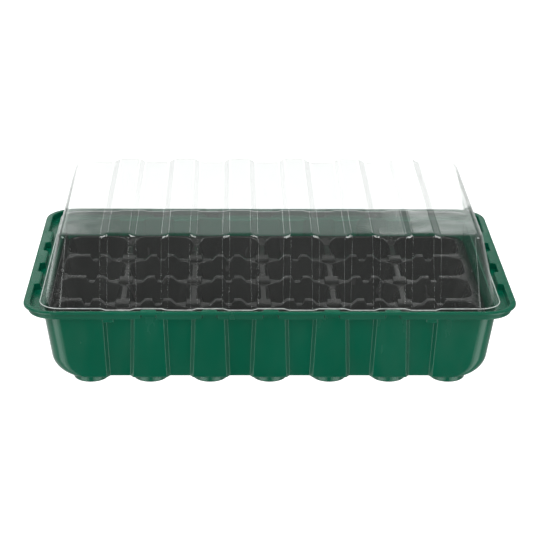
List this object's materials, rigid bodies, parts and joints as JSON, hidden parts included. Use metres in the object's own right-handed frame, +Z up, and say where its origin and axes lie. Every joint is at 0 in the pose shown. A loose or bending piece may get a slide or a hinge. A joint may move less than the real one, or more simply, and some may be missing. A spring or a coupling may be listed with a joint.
{
  "type": "humidity dome tray",
  "caption": "Seed-raising tray with a fluted base, a drop-in insert of tapered cells and a clear lift-off humidity dome.",
  "frame": {"origin": "middle of the tray's footprint, on the surface that its feet stand on", "axes": "+X along the long side of the rim, to the right seen from the front; +Y towards the back; +Z up"},
  "size_m": [0.38, 0.24, 0.1215],
  "materials": {
    "tray_green": "glossy deep green moulded plastic with light scuffs",
    "insert_black": "glossy black thermoformed sheet",
    "dome_clear": "thin clear thermoformed sheet, glossy, slightly wavy"
  },
  "bodies": {
    "tray": {"base_tray": "tray_green"},
    "insert": {"cell_insert": "insert_black"},
    "dome": {"humidity_dome": "dome_clear"}
  },
  "joints": [
    {"name": "insert_lift", "type": "slide", "parent": "tray", "child": "insert", "axis": [0, 0, 1], "range_m": [0, 0.08]},
    {"name": "dome_lift", "type": "slide", "parent": "insert", "child": "dome", "axis": [0, 0, 1], "range_m": [0, 0.15]}
  ]
}
